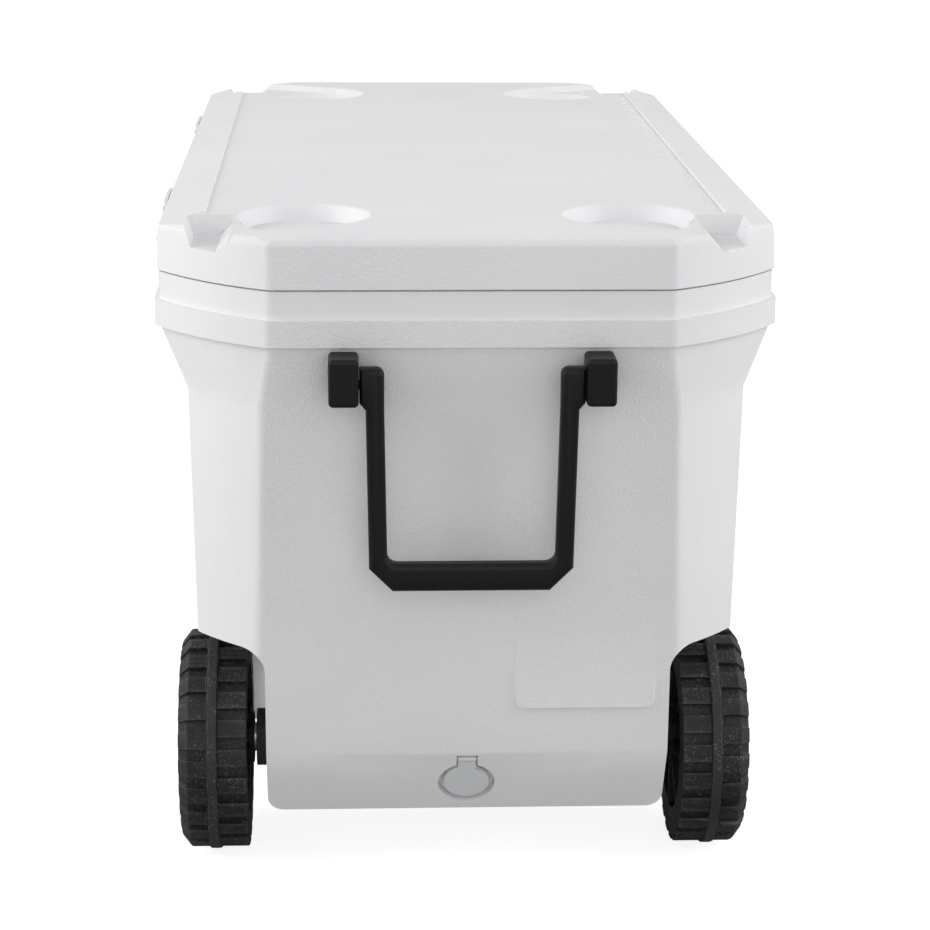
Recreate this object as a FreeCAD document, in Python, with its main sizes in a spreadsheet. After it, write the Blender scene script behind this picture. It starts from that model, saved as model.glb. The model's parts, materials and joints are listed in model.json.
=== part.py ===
import FreeCAD, Part
import math
import os
import Sketcher

# A wheeled cooler: a foam-filled tub with an inner liner, a hinged foam-filled lid with four drink
# recesses and four strap notches, two wheels on a steel axle under one end, a swing-up carry handle
# over the wheels, a long tow handle on the other end, and a drain in the wheel end.
# Frame: +Z up, ground at Z = 0. X runs across, -X is the hinge side. Y runs along the cooler, from
# the wheel end (-Y) to the tow end (+Y). The origin is on the ground under the middle. Millimetres.

doc = FreeCAD.newDocument("wheeled_cooler")

# ---------------------------------------------------------------- driving sizes
SIZES = {
    # the whole cooler
    "lid_length": 890.0, "lid_width": 445.0, "rim_height": 460.0, "lid_thickness": 40.0,
    # plan of the lid: flat end face, bowed corner facets, softened edges
    "end_half": 140.5, "corner_run": 77.0, "facet_radius": 230.0, "edge_soft": 12.0,
    "top_round": 7.0, "side_draft": 1.5,
    # walls and gaps
    "shell_wall": 3.0, "liner_wall": 2.5, "foam_gap": 0.4, "lid_gap": 1.5, "foam_min": 18.0,
    # tub levels above the ground
    "base_level": 57.5, "break_level": 113.0, "flare_low": 377.0, "flare_top": 421.0,
    "collar_height": 19.0,
    # how far each level stands inside the lid's outline, at the sides and at the ends
    "collar_out": 2.0, "skirt_in": 1.5, "neck_in": 4.6,
    "flare_top_in": 1.6, "flare_low_in": 21.5, "flare_low_end_in": 10.0,
    "break_in": 26.5, "break_end_in": 17.0, "base_in": 41.2, "base_end_in": 45.3,
    "flare_low_half": 147.0, "flare_low_run": 52.0, "break_half": 154.0, "break_run": 42.0,
    "base_half": 147.5, "base_run": 38.0,
    # wheels, axle and wheel wells
    "wheel_radius": 85.0, "wheel_set_back": 124.0, "wheel_middle": 188.5, "tread_width": 51.0,
    "rib_width": 8.0, "rib_height": 1.5, "lug_height": 3.5, "lug_count": 24.0, "lug_gap_angle": 6.0,
    "shoulder_width": 7.0, "shoulder_drop": 9.0, "rim_radius": 64.0, "rim_wall": 6.0,
    "web_thickness": 4.0, "hub_radius": 20.0, "spoke_count": 8.0, "axle_radius": 6.0,
    "running_gap": 0.05, "washer_thickness": 1.5, "washer_radius": 11.0, "side_gap": 0.3,
    "well_inner": 147.0, "well_clear": 24.0, "well_round": 18.0, "base_corner": 12.0, "bush_flange": 12.0,
    "bush_radius": 22.0, "bush_spigot": 26.0, "channel_half": 10.0, "hub_tail": 29.0,
    "hub_nose": 13.0, "axle_cap_radius": 11.0, "axle_cap_height": 7.0,
    # feet under the tow end
    "foot_set_in": 58.0, "foot_length": 74.0, "foot_inner": 62.0, "foot_outer": 168.0,
    "foot_taper": 8.0,
    # liner
    "liner_in": 38.0, "liner_floor_in": 62.0, "liner_floor_end_in": 67.5,
    "liner_top_half": 140.5, "liner_break_level": 140.0, "liner_floor_level": 82.0,
    "liner_top_in": 30.0,
    # lid top
    "rail_width": 18.0, "panel_drop": 2.5, "rail_end": 97.0, "seal_gap": 0.3,
    "cup_radius": 48.0, "cup_floor_radius": 41.0, "cup_depth": 12.0, "cup_across": 117.5,
    "cup_set_in": 97.0, "notch_floor_in": 177.0, "notch_floor_out": 196.0,
    "notch_top_in": 160.0, "notch_top_out": 202.0, "notch_depth": 17.0, "notch_reach": 94.0,
    "saddle_turn": 28.0, "saddle_depth": 6.0, "saddle_reach": 84.0, "saddle_front": 45.0,
    "saddle_back": 21.0,
    "plug_depth": 12.0, "plug_gap": 4.0,
    # hinges
    "hinge_spacing": 210.0, "hinge_width": 54.0, "leaf_thickness": 2.5, "knuckle_radius": 4.5,
    "hinge_pin_radius": 2.0, "leaf_height": 30.0, "knuckle_share": 18.0,
    "knuckle_gap": 0.4, "knuckle_stand": 4.8, "screw_radius": 1.8, "screw_head_radius": 3.6,
    "screw_head_height": 1.6, "screw_spread": 17.0, "screw_seat": 7.6, "screw_reach": 17.0,
    "screw_length": 8.0, "shaft_gap": 0.05, "screw_drop": 19.0,
    # carry handle over the wheels
    "carry_pivot_level": 398.0, "pivot_out": 15.0, "carry_head_half": 78.2,
    "carry_arm_out": 74.0, "carry_arm_low_out": 72.0,
    "carry_arm_in": 61.0, "carry_arm_low_in": 59.0, "carry_reach": 148.5, "carry_grip": 20.0,
    "handle_thickness": 14.0, "head_half": 12.5, "head_slope": 5.0, "pivot_pin_radius": 4.5,
    "pivot_pin_length": 13.0, "bracket_width": 21.0, "bracket_gap": 0.4, "bracket_top": 19.5,
    "bracket_nose": 10.0, "bracket_low": 14.5, "carry_corner": 18.0,
    # tow handle
    "tow_head_half": 112.0, "tow_arm_out": 105.0, "tow_arm_in": 91.0, "tow_reach": 285.0,
    "tow_bar_radius": 8.0, "tow_grip_radius": 15.0, "tow_grip_half": 62.0, "tow_corner": 26.0,
    # drain
    "drain_level": 83.0, "drain_wall": 10.0, "spout_length": 36.3, "seat_margin": 12.0,
    "recess_radius": 21.0, "recess_depth": 7.0, "spout_radius": 9.4,
    "spout_bore": 7.0, "spout_flange": 16.0, "flange_thickness": 2.0, "nut_radius": 14.0,
    "nut_thickness": 5.0, "gasket_thickness": 1.5, "cap_radius": 17.0, "cap_thickness": 4.0,
    "cap_stub": 6.2, "cap_stub_length": 4.0, "tongue_width": 13.5, "tongue_length": 30.0,
    "tongue_thickness": 2.5, "tether_pin_radius": 1.0, "tether_knuckle": 2.2,
}

sheet = doc.addObject("Spreadsheet::Sheet", "sizes")
for row, (alias, value) in enumerate(SIZES.items(), start=1):
    sheet.set(f"A{row}", alias)
    sheet.set(f"B{row}", repr(value))
    sheet.setAlias(f"B{row}", alias)
doc.recompute()


class Size:
    """A length known both as a number and as the expression that ties it to the sheet."""

    def __init__(self, value, text):
        self.value = float(value)
        self.text = text

    def __add__(self, other):
        other = size(other)
        return Size(self.value + other.value, f"({self.text} + {other.text})")

    def __sub__(self, other):
        other = size(other)
        return Size(self.value - other.value, f"({self.text} - {other.text})")

    def __mul__(self, other):
        other = size(other)
        return Size(self.value * other.value, f"({self.text} * {other.text})")

    def __truediv__(self, other):
        other = size(other)
        return Size(self.value / other.value, f"({self.text} / {other.text})")

    def __radd__(self, other):
        return size(other) + self

    def __rsub__(self, other):
        return size(other) - self

    def __rmul__(self, other):
        return size(other) * self

    def __neg__(self):
        return Size(-self.value, f"(0 - {self.text})")

    def root(self):
        return Size(math.sqrt(self.value), f"sqrt({self.text})")


def size(value):
    """value as a Size: a Size, a number, or the name of a cell of the sheet."""
    if isinstance(value, Size):
        return value
    if isinstance(value, str):
        return Size(sheet.get(value), f"sizes.{value}")
    return Size(value, repr(float(value)) if value >= 0 else f"(0 - {-float(value)!r})")


def bind(thing, prop, value):
    """Ties a property of a document object to the sheet."""
    thing.setExpression(prop, size(value).text)


def place(thing, x=0.0, y=0.0, z=0.0, rotation=None):
    """Puts thing at a point worked out from the sheet, turned by rotation."""
    point = [size(v) for v in (x, y, z)]
    turn = rotation or FreeCAD.Rotation()
    thing.Placement = FreeCAD.Placement(FreeCAD.Vector(*[p.value for p in point]), turn)
    for letter, p in zip("xyz", point):
        bind(thing, f"Placement.Base.{letter}", p)
    return thing


# ---------------------------------------------------------------- sketches
class Draft:
    """Draws in one sketch, each size tied to the sheet."""

    def __init__(self, sketch):
        self.sketch = sketch
        self.count = 0

    def datum(self, kind, refs, value):
        value = size(value)
        index = self.sketch.addConstraint(Sketcher.Constraint(kind, *refs, value.value))
        name = f"d{self.count}"
        self.count += 1
        self.sketch.renameConstraint(index, name)
        self.sketch.setExpression(f"Constraints.{name}", value.text)

    def pin(self, geo, pos, x, y):
        """Fixes a point of the drawing at (x, y)."""
        for kind, axis, value in (("DistanceX", -2, size(x)), ("DistanceY", -1, size(y))):
            if value.text == "0.0":
                self.sketch.addConstraint(Sketcher.Constraint("PointOnObject", geo, pos, axis))
            else:
                self.datum(kind, (-1, 1, geo, pos), value)

    def polygon(self, corners):
        """A closed run of straight edges through the corners."""
        points = [FreeCAD.Vector(size(x).value, size(y).value, 0) for x, y in corners]
        first = self.sketch.GeometryCount
        count = len(points)
        for i, point in enumerate(points):
            self.sketch.addGeometry(Part.LineSegment(point, points[(i + 1) % count]), False)
        for i, (x, y) in enumerate(corners):
            before = first + (i - 1) % count
            self.sketch.addConstraint(Sketcher.Constraint("Coincident", before, 2, first + i, 1))
            self.pin(first + i, 1, x, y)

    def circle(self, x, y, radius):
        centre = FreeCAD.Vector(size(x).value, size(y).value, 0)
        circle = Part.Circle(centre, FreeCAD.Vector(0, 0, 1), size(radius).value)
        geo = self.sketch.addGeometry(circle, False)
        self.pin(geo, 3, x, y)
        self.datum("Radius", (geo,), radius)


class Plan:
    """The cooler's outline seen from above: flat ends and sides, joined by bowed corner facets."""

    def __init__(self, half_width, half_length, end_half, run, radius="facet_radius"):
        self.half_width, self.half_length = size(half_width), size(half_length)
        self.radius = size(radius)
        across, along = self.half_width - end_half, size(run)
        chord = (across * across + along * along).root()
        depth = (self.radius * self.radius - chord * chord / 4).root()
        self.centre_x = (self.half_width + end_half) / 2 - along * depth / chord
        self.centre_y = self.half_length - along / 2 - across * depth / chord

    def inset(self, distance):
        """The same outline, moved in by a distance all round."""
        moved = Plan.__new__(Plan)
        moved.half_width = self.half_width - distance
        moved.half_length = self.half_length - distance
        moved.radius = self.radius - distance
        moved.centre_x, moved.centre_y = self.centre_x, self.centre_y
        return moved


def arc(centre, start, end):
    """An anticlockwise arc round centre from start to end."""
    first, last = ((p - centre) for p in (start, end))
    angles = [math.atan2(v.y, v.x) for v in (first, last)]
    circle = Part.Circle(centre, FreeCAD.Vector(0, 0, 1), first.Length)
    return Part.ArcOfCircle(circle, angles[0], angles[1])


def outline(name, plan, level, soft="edge_soft"):
    """A sketch of the plan at a level, with its eight corners softened by small tangent arcs."""
    sketch = place(doc.addObject("Sketcher::SketchObject", name), z=level)
    draft, soft = Draft(sketch), size(soft)
    width, length, radius = plan.half_width.value, plan.half_length.value, plan.radius.value
    cx, cy, r = plan.centre_x.value, plan.centre_y.value, soft.value
    end_x = cx + math.sqrt((radius - r) ** 2 - (length - r - cy) ** 2)
    side_y = cy + math.sqrt((radius - r) ** 2 - (width - r - cx) ** 2)

    def corner(sx, sy):
        """Arc centres and joints of one corner, from the end face round to the side."""
        facet = FreeCAD.Vector(sx * cx, sy * cy, 0)
        by_end = FreeCAD.Vector(sx * end_x, sy * (length - r), 0)
        by_side = FreeCAD.Vector(sx * (width - r), sy * side_y, 0)
        reach = radius / (radius - r)
        joints = [FreeCAD.Vector(sx * end_x, sy * length, 0), facet + (by_end - facet) * reach,
                  facet + (by_side - facet) * reach, FreeCAD.Vector(sx * width, sy * side_y, 0)]
        return [by_end, facet, by_side], joints

    edges, kinds, last = [], [], None
    for sx, sy in ((1, -1), (1, 1), (-1, 1), (-1, -1)):
        centres, joints = corner(sx, sy)
        if sx * sy > 0:
            centres, joints = centres[::-1], joints[::-1]
        if last is not None:
            edges.append(Part.LineSegment(last, joints[0]))
            kinds.append(("end", sy) if sx < 0 < sy else ("side", sx))
        for step in range(3):
            edges.append(arc(centres[step], joints[step], joints[step + 1]))
            kinds.append(("facet", sx, sy) if step == 1 else ("soft",))
        last = joints[3]
    edges.append(Part.LineSegment(last, corner(1, -1)[1][0]))
    kinds.append(("end", -1))
    sketch.addGeometry(edges, False)
    for i in range(len(edges)):
        after = (i + 1) % len(edges)
        sketch.addConstraint(Sketcher.Constraint("Tangent", i, 2, after, 1))
    for i, kind in enumerate(kinds):
        if kind[0] == "soft":
            draft.datum("Radius", (i,), soft)
        elif kind[0] == "facet":
            draft.datum("Radius", (i,), plan.radius)
            draft.datum("DistanceX", (-1, 1, i, 3), kind[1] * plan.centre_x)
            draft.datum("DistanceY", (-1, 1, i, 3), kind[2] * plan.centre_y)
        elif kind[0] == "side":
            sketch.addConstraint(Sketcher.Constraint("Vertical", i))
            draft.datum("DistanceX", (-1, 1, i, 1), kind[1] * plan.half_width)
        else:
            sketch.addConstraint(Sketcher.Constraint("Horizontal", i))
            draft.datum("DistanceY", (-1, 1, i, 1), kind[1] * plan.half_length)
    return sketch


# ---------------------------------------------------------------- solids from sketches
def loft(name, sketches):
    """A solid through the outlines, straight from each to the next."""
    solid = doc.addObject("Part::Loft", name)
    solid.Sections = sketches
    solid.Solid = True
    solid.Ruled = True
    return solid


def prism(name, sketch, direction, length):
    """A sketch pulled straight along a direction."""
    solid = doc.addObject("Part::Extrusion", name)
    solid.Base = sketch
    solid.DirMode = "Custom"
    solid.Dir = FreeCAD.Vector(*direction)
    solid.Solid = True
    bind(solid, "LengthFwd", length)
    return solid


def slab(name, plan, low, high, soft="edge_soft"):
    """The plan pulled up from one level to another."""
    return prism(name, outline(name + "_outline", plan, low, soft), (0, 0, 1), size(high) - low)


def box(name, x, y, z):
    """A block between (low, high) pairs on each axis."""
    solid = doc.addObject("Part::Box", name)
    for prop, (low, high) in zip(("Length", "Width", "Height"), (x, y, z)):
        bind(solid, prop, size(high) - low)
    return place(solid, x[0], y[0], z[0])


TURNS = {
    "+X": FreeCAD.Rotation(FreeCAD.Vector(0, 1, 0), 90),
    "-X": FreeCAD.Rotation(FreeCAD.Vector(0, 1, 0), -90),
    "+Y": FreeCAD.Rotation(FreeCAD.Vector(1, 0, 0), -90),
    "-Y": FreeCAD.Rotation(FreeCAD.Vector(1, 0, 0), 90),
    "+Z": FreeCAD.Rotation(),
}


def rod(name, radius, length, x, y, z, along="+Z"):
    """A cylinder that starts at a point and runs along an axis."""
    solid = doc.addObject("Part::Cylinder", name)
    bind(solid, "Radius", radius)
    bind(solid, "Height", length)
    return place(solid, x, y, z, TURNS[along] if isinstance(along, str) else along)


def fuse(name, pieces):
    solid = doc.addObject("Part::MultiFuse", name)
    solid.Shapes = pieces
    return solid


def common(name, first, second):
    solid = doc.addObject("Part::Common", name)
    solid.Base = first
    solid.Tool = second
    return solid


def cut(name, base, tools):
    """base with the tools taken away."""
    solid = doc.addObject("Part::Cut", name)
    solid.Base = base
    solid.Tool = tools[0] if len(tools) == 1 else fuse(name + "_tools", tools)
    return solid


def group(name, pieces):
    """Separate solids kept as one node."""
    solid = doc.addObject("Part::Compound", name)
    solid.Links = pieces
    return solid


def rounded(name, base, radius, keep):
    """base with each edge that keep accepts rounded to a radius."""
    doc.recompute()
    solid = doc.addObject("Part::Fillet", name)
    solid.Base = base
    r = size(radius).value
    solid.Edges = [(i, r, r) for i, edge in enumerate(base.Shape.Edges, start=1) if keep(edge)]
    return solid


NODES = []


def node(thing, name):
    """Marks a finished sub-part and gives it the name of its file."""
    thing.Label = name
    NODES.append(thing)
    return thing


# ---------------------------------------------------------------- bodies with a feature history
def new_body(name):
    return doc.addObject("PartDesign::Body", name)


def face_sketch(body, name, plane="XY_Plane", lift=None):
    """A sketch on one of the body's own planes, lifted off it by a size."""
    sketch = body.newObject("Sketcher::SketchObject", name)
    plane = next(p for p in body.Origin.OriginFeatures if p.Role == plane)
    sketch.AttachmentSupport = [(plane, "")]
    sketch.MapMode = "FlatFace"
    if lift is not None:
        sketch.AttachmentOffset = FreeCAD.Placement(
            FreeCAD.Vector(0, 0, size(lift).value), FreeCAD.Rotation())
        bind(sketch, "AttachmentOffset.Base.z", lift)
    return sketch


def pad(body, name, draw, length, plane="XY_Plane", lift=None, middle=False):
    """Adds a drawing pulled up from its plane; draw is called with the sketch's Draft."""
    sketch = face_sketch(body, name + "_sketch", plane, lift)
    draw(Draft(sketch))
    feature = body.newObject("PartDesign::Pad", name)
    feature.Profile = sketch
    feature.Midplane = middle
    bind(feature, "Length", length)
    return feature


def pocket(body, name, draw, plane="XY_Plane", lift=None):
    """Takes a drawing away right through, both ways."""
    sketch = face_sketch(body, name + "_sketch", plane, lift)
    draw(Draft(sketch))
    feature = body.newObject("PartDesign::Pocket", name)
    feature.Profile = sketch
    feature.Type = "ThroughAll"
    feature.Midplane = True
    return feature


def turned(body, name, corners, angle=360.0, back=False):
    """Adds a profile (along, out) turned about the body's X axis."""
    sketch = face_sketch(body, name + "_sketch")
    Draft(sketch).polygon(corners)
    feature = body.newObject("PartDesign::Revolution", name)
    feature.Profile = sketch
    feature.ReferenceAxis = (sketch, ["H_Axis"])
    feature.Reversed = back
    bind(feature, "Angle", angle)
    return feature


def repeated(body, name, feature, count, axis="X_Axis"):
    """Repeats a feature evenly round one of the body's axes."""
    pattern = body.newObject("PartDesign::PolarPattern", name)
    pattern.Originals = [feature]
    line = next(a for a in body.Origin.OriginFeatures if a.Role == axis)
    pattern.Axis = (line, [""])
    pattern.Angle = 360
    bind(pattern, "Occurrences", count)
    body.Tip = pattern
    return pattern


# ---------------------------------------------------------------- levels and plans shared by parts
half_width, half_length = size("lid_width") / 2, size("lid_length") / 2
rim, wall = size("rim_height"), size("shell_wall")
lid_top = rim + "lid_thickness"
collar_top = size("flare_top") + "collar_height"
axle_y, axle_z = size("wheel_set_back") - half_length, size("wheel_radius")
well_radius = size("wheel_radius") + "well_clear"
LID = Plan(half_width, half_length, "end_half", "corner_run")
COLLAR = LID.inset(-size("collar_out"))
LOWER = (
    ("base", "base_level", Plan(half_width - "base_in", half_length - "base_end_in",
                                "base_half", "base_run")),
    ("break", "break_level", Plan(half_width - "break_in", half_length - "break_end_in",
                                  "break_half", "break_run")),
    ("flare_low", "flare_low", Plan(half_width - "flare_low_in", half_length - "flare_low_end_in",
                                    "flare_low_half", "flare_low_run")),
    ("flare_top", "flare_top", LID.inset("flare_top_in")),
)


def tub_form(name, inward, floor_up):
    """The tub's outer form moved in by a distance, with its floor lifted."""
    outlines = []
    for label, level, plan in LOWER:
        level = size(level) + floor_up if label == "base" else size(level)
        outlines.append(outline(f"{name}_{label}", plan.inset(inward), level))
    return loft(name, outlines)


def wheel_space(name, grow, soften=False):
    """Both wheel wells and the axle channel between them, grown by a distance all round."""
    grow = size(grow)
    pieces = []
    inner = size("well_inner") - grow
    outer = half_width + 20
    back = well_radius + grow
    for side, low, high in (("right", inner, outer), ("left", -outer, -inner)):
        block = box(f"{name}_{side}_front", (low, high), (-half_length - 20, axle_y),
                    (-size(1), axle_z + back))
        heel = box(f"{name}_{side}_heel", (low, high), (axle_y - 1, axle_y + back), (-size(1), axle_z))
        arch = rod(f"{name}_{side}_arch", back, high - low, low, axle_y, axle_z, "+X")
        well = fuse(f"{name}_{side}", [block, heel, arch])
        well.Refine = True
        if soften:
            wall_x = inner.value if side == "right" else -inner.value
            well = rounded(f"{name}_{side}_soft", well, "well_round", lambda edge: all(
                abs(v.X - wall_x) < 0.01 and v.Z > axle_z.value - 0.01 for v in edge.Vertexes))
        pieces.append(well)
    half = size("channel_half") + grow
    pieces.append(box(f"{name}_channel", (-inner - 1, inner + 1), (axle_y - half, axle_y + half),
                      (-size(1), axle_z + half)))
    return fuse(name, pieces)


def base_corners():
    """What rounds the tub's lower corners beside the wheels."""
    soft, low = size("base_corner"), size("base_level")
    front, back = -half_length, axle_y + well_radius
    pieces = []
    for side in (-1, 1):
        edge, centre = side * size("well_inner"), side * (size("well_inner") - soft)
        x = (centre, edge + 1) if side > 0 else (edge - 1, centre)
        block = box("base_corner_block", x, (front, back), (low - 1, low + soft))
        barrel = rod("base_corner_barrel", soft, back - front, centre, front, low + soft, "+Y")
        pieces.append(cut("base_corner_cut", block, [barrel]))
    return pieces


# the sloping band: a point on it at the drain's level, and the way into the tub square to it
band_rise = size("break_level") - "base_level"
band_run = size("base_end_in") - "break_end_in"
band_slope = (band_rise * band_rise + band_run * band_run).root()
band_in_y, band_in_z = band_rise / band_slope, band_run / band_slope
drain_y = (size("break_end_in") - half_length
           + (size("break_level") - "drain_level") * band_run / band_rise)
cap_depth = size("recess_depth") - "flange_thickness" - "cap_thickness" - size(0.3)
tongue_depth = cap_depth + size("tongue_thickness") / 2
DRAIN_TURN = FreeCAD.Rotation(
    FreeCAD.Vector(0, 0, 1), FreeCAD.Vector(0, band_in_y.value, band_in_z.value))


def drain_rod(name, radius, start, length):
    """A cylinder square to the sloping band, from a distance inside it, running inwards."""
    start = size(start)
    return rod(name, radius, length, 0, drain_y + start * band_in_y,
               size("drain_level") + start * band_in_z, DRAIN_TURN)


def tether_rod(name, radius, half):
    """A rod across the top of the drain cap's tongue, along X."""
    up, inside = size("tongue_length") - 5, tongue_depth
    return rod(name, radius, 2 * half, -half, drain_y + inside * band_in_y - up * band_in_z,
               size("drain_level") + inside * band_in_z + up * band_in_y, "+X")


# ---------------------------------------------------------------- fasteners
hinge_x, hinge_z = -half_width - "knuckle_stand", rim
hinge_middles = (-size("hinge_spacing"), size("hinge_spacing"))
screw_level_low = size("flare_top") + size("collar_height") / 2
screw_level_high = rim + "screw_drop"


def hinge_screw_rows():
    """(name, X of the face the leaf lies on, level) of the screws in the tub and in the lid."""
    return (("tub", -half_width - "collar_out", screw_level_low),
            ("lid", -half_width, screw_level_high))


def screw(name, x, y, z, along, grip, length):
    """A round-headed screw whose head stands off a face at a distance grip outside the point."""
    away = {"+X": (-1, 0), "+Y": (0, -1), "-Y": (0, 1), "-X": (1, 0)}[along]
    hx, hy = size(x) + size(grip) * away[0], size(y) + size(grip) * away[1]
    cap_x = hx + size("screw_head_height") * away[0]
    cap_y = hy + size("screw_head_height") * away[1]
    head = rod(name + "_head", "screw_head_radius", "screw_head_height", cap_x, cap_y, z, along)
    shank = rod(name + "_shank", "screw_radius", size(length) + grip, hx, hy, z, along)
    return fuse(name, [head, shank])


# ---------------------------------------------------------------- tub
def foot_block(name, inset, low, high):
    """The two feet under the tow end, as tapered blocks."""
    pieces = []
    middle = (size("foot_inner") + "foot_outer") / 2
    half = (size("foot_outer") - "foot_inner") / 2 - inset
    near = half_length - "foot_set_in" - "foot_length" + inset
    far = half_length - "foot_set_in" - inset
    for side in (-1, 1):
        rings = []
        for label, level, spread in (("low", low, size(0)), ("high", high, size("foot_taper"))):
            sketch = place(doc.addObject("Sketcher::SketchObject", f"{name}_{label}"), z=level)
            x0, x1 = side * middle - half - spread, side * middle + half + spread
            Draft(sketch).polygon(((x0, near - spread), (x1, near - spread), (x1, far), (x0, far)))
            rings.append(sketch)
        pieces.append(loft(name, rings))
    return fuse(name + "_pair", pieces)


def outer_tub():
    form = fuse("tub_body", [tub_form("tub", 0, 0),
                             slab("collar", COLLAR, "flare_top", collar_top),
                             foot_block("foot", size(0), size(0), size("base_level") + 10)])
    neck = slab("neck", LID.inset("neck_in"), collar_top - 1, rim - 4)
    hollow = cut("tub_hollow", fuse("hollow_body", [
        tub_form("hollow", wall, wall),
        slab("hollow_throat", LID.inset(size("flare_top_in") + wall), size("flare_top") - 1,
             size("flare_top") + wall + 1),
        slab("hollow_collar", COLLAR.inset(wall), size("flare_top") + wall, collar_top - wall),
        slab("hollow_neck", LID.inset(size("neck_in") + wall), collar_top - wall - 1, rim),
        foot_block("foot_hollow", wall, wall, size("base_level") + 8)]),
        [wheel_space("well_wall", wall)])
    holes = [drain_rod("drain_recess", "recess_radius", -20, size("recess_depth") + 20)]
    holes.append(drain_rod("drain_hole", size("spout_radius") + 0.3, 0, 30))
    tongue = (-size("tongue_width") / 2 - 1, size("tongue_width") / 2 + 1)
    slot = box("tongue_slot", tongue, (-size(20), size("recess_depth") - 1), (0, "tongue_length"))
    slot.Placement = FreeCAD.Placement(
        FreeCAD.Vector(tongue[0].value, (drain_y - 20 * band_in_y).value,
                       (size("drain_level") - 20 * band_in_z).value),
        FreeCAD.Rotation(FreeCAD.Vector(1, 0, 0), math.degrees(math.atan2(band_in_z.value,
                                                                        band_in_y.value))))
    for letter, value in (("x", tongue[0]), ("y", drain_y - 20 * band_in_y),
                          ("z", size("drain_level") - 20 * band_in_z)):
        bind(slot, f"Placement.Base.{letter}", value)
    holes.append(slot)
    holes.append(tether_rod("tether_hole", size("tether_pin_radius") + "running_gap",
                            size("tongue_width") / 2 + 4))
    pad_ring = drain_rod("drain_seat", size("recess_radius") + "seat_margin", 1,
                         size("recess_depth") + wall - 1)
    skin = fuse("tub_skin", [cut("tub_open", fuse("tub_mass", [form, neck]), [hollow]),
                             common("drain_seat_in", pad_ring, form)])
    tools = [wheel_space("well", 0, True)] + base_corners() + holes + screw_holes("tub", "shaft_gap")
    return node(cut("tub_cut", skin, tools), "outer_tub")


def screw_holes(row, gap):
    """Clearance for the hinge screws of one row."""
    tools = []
    for label, x, level in hinge_screw_rows():
        for middle in hinge_middles if label == row else ():
            for step in (-1, 1):
                tools.append(rod(f"hole_{label}", size("screw_radius") + gap, "screw_length",
                                 x, middle + step * size("screw_spread"), level, "+X"))
    for sign, x, level in handle_screw_points() if row == "tub" else ():
        tools.append(rod("hole_handle", size("screw_radius") + gap, 24, x,
                         sign * (half_length - 22), level, "-Y" if sign < 0 else "+Y"))
    return tools


def handle_screw_points():
    """(end, X, level) of the screws behind the handle brackets, one in each bracket."""
    level = size("carry_pivot_level") + "bracket_top" - 5
    half = size("bracket_width") / 2 + "bracket_gap"
    return tuple((sign, side * (size(f"{end}_head_half") + half), level)
                 for end, sign in (("carry", -1), ("tow", 1)) for side in (-1, 1))


LINER = (
    ("floor", "liner_floor_level", Plan(half_width - "liner_floor_in", half_length - "liner_floor_end_in",
                                        "base_half", "base_run")),
    ("break", "liner_break_level", Plan(half_width - "liner_in", half_length - "liner_in",
                                        "base_half", "base_run")),
    ("top", rim, Plan(half_width - "liner_top_in", half_length - "liner_top_in",
                      "liner_top_half", "base_run")),
)


def liner_form(name, inward):
    """The liner's outer form moved in by a distance, kept clear of the wheel wells."""
    outlines = []
    for label, level, plan in LINER:
        level = size(level) + inward if label == "floor" else size(level)
        outlines.append(outline(f"{name}_{label}", plan.inset(inward), level))
    grow = wall + "foam_min" + inward
    return cut(name + "_form", loft(name, outlines), [wheel_space(name + "_clear", grow)])


def inner_liner():
    liner_wall = size("liner_wall")
    skirt = cut("skirt_ring", slab("skirt", LID.inset("skirt_in"), collar_top, rim),
                [slab("skirt_under", LID.inset(size("skirt_in") + liner_wall), collar_top - 1,
                      rim - liner_wall)])
    mass = fuse("liner_mass", [liner_form("liner", 0), skirt])
    mouth = slab("mouth", LINER[2][2].inset(liner_wall), rim - liner_wall - 1, rim + 1)
    bore = drain_rod("liner_drain", size("spout_radius") + 0.3, 5, 60)
    return node(cut("liner_cut", mass, [liner_form("liner_inside", liner_wall), mouth, bore]),
                "inner_liner")


def tub_foam():
    gap = size("foam_gap")
    under = size("drain_wall") + gap
    hull = fuse("foam_body", [
        tub_form("foam", wall + gap, wall + gap),
        slab("foam_collar", LID.inset(size("neck_in") + wall + gap), size("flare_top") - 1,
             rim - "liner_wall" - gap)])
    grown = tuple((label, level, plan.inset(-gap)) for label, level, plan in LINER)
    core = loft("foam_core", [outline("foam_core_" + label, plan, size(level) - gap if label == "floor"
                                      else size(level)) for label, level, plan in grown])
    core = cut("foam_core_form", core, [wheel_space("foam_core_clear", wall + "foam_min" - gap)])
    tools = [core, wheel_space("foam_well", wall + gap),
             drain_rod("foam_seat", size("recess_radius") + "seat_margin" + 1, 0, under)]
    tools.append(drain_rod("foam_drain", size("nut_radius") + 1.5, 0, 60))
    tools += screw_holes("tub", size("shaft_gap"))
    for sign, x, level in handle_screw_points():
        tools.append(rod("foam_screw_head", size("screw_head_radius") + 1, 12, x,
                         sign * (half_length - 14), level, "-Y" if sign < 0 else "+Y"))
    return node(cut("foam_cut", hull, tools), "tub_foam")


# ---------------------------------------------------------------- lid
def four(make):
    """make(sx, sy) for each quarter of the lid."""
    return [make(sx, sy) for sx in (-1, 1) for sy in (-1, 1)]


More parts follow.
